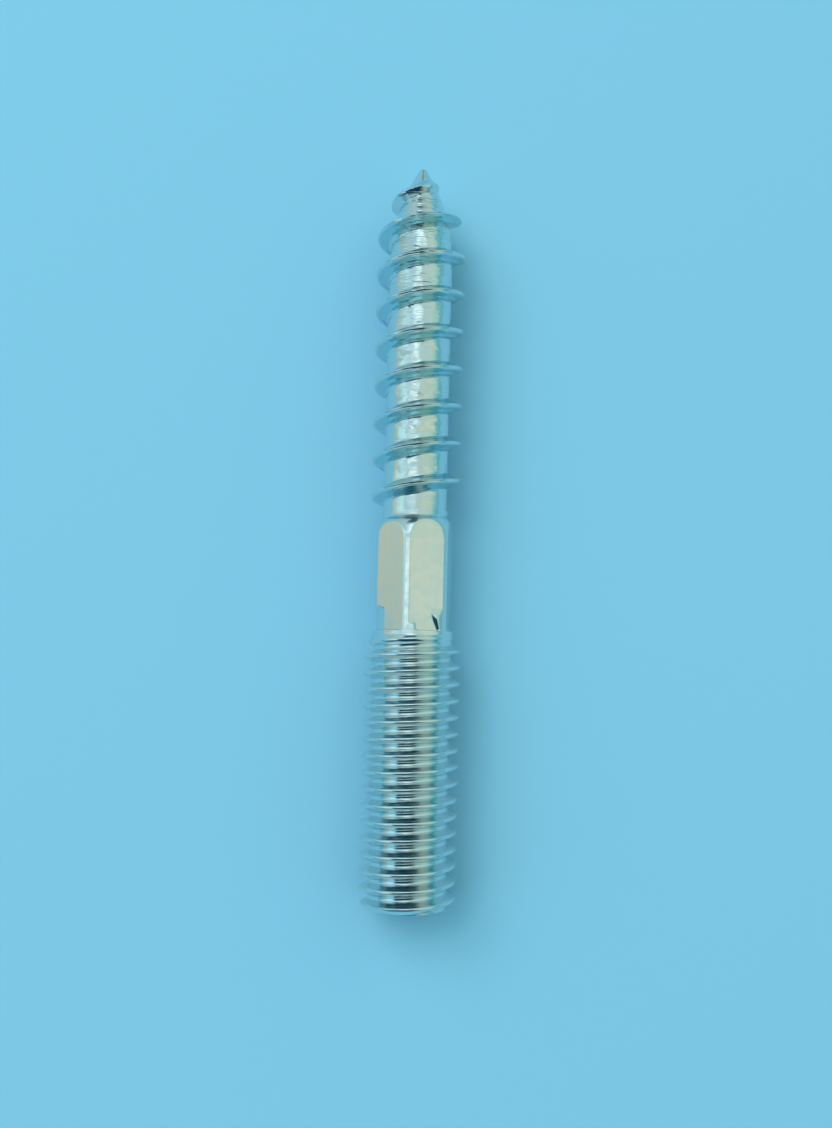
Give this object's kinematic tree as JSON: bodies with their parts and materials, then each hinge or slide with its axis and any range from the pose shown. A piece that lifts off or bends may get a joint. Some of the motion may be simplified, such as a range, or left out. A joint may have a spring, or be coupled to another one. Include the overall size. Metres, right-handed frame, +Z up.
{
  "type": "hanger bolt",
  "caption": "Steel hanger bolt with a metric machine thread at one end, a coarse wood thread with a gimlet point at the other, and a hex grip between them.",
  "frame": {"origin": "on the ground, under the middle of the bolt's length", "axes": "+Y along the bolt from its machine end to its point, +Z up, +X to the right of the wood thread's point seen from above"},
  "size_m": [0.0058, 0.045, 0.0059],
  "materials": {
    "zinc_plate": "bright zinc plating on rolled steel, slightly uneven"
  },
  "bodies": {
    "root": {"hanger_bolt": "zinc_plate"}
  },
  "joints": []
}
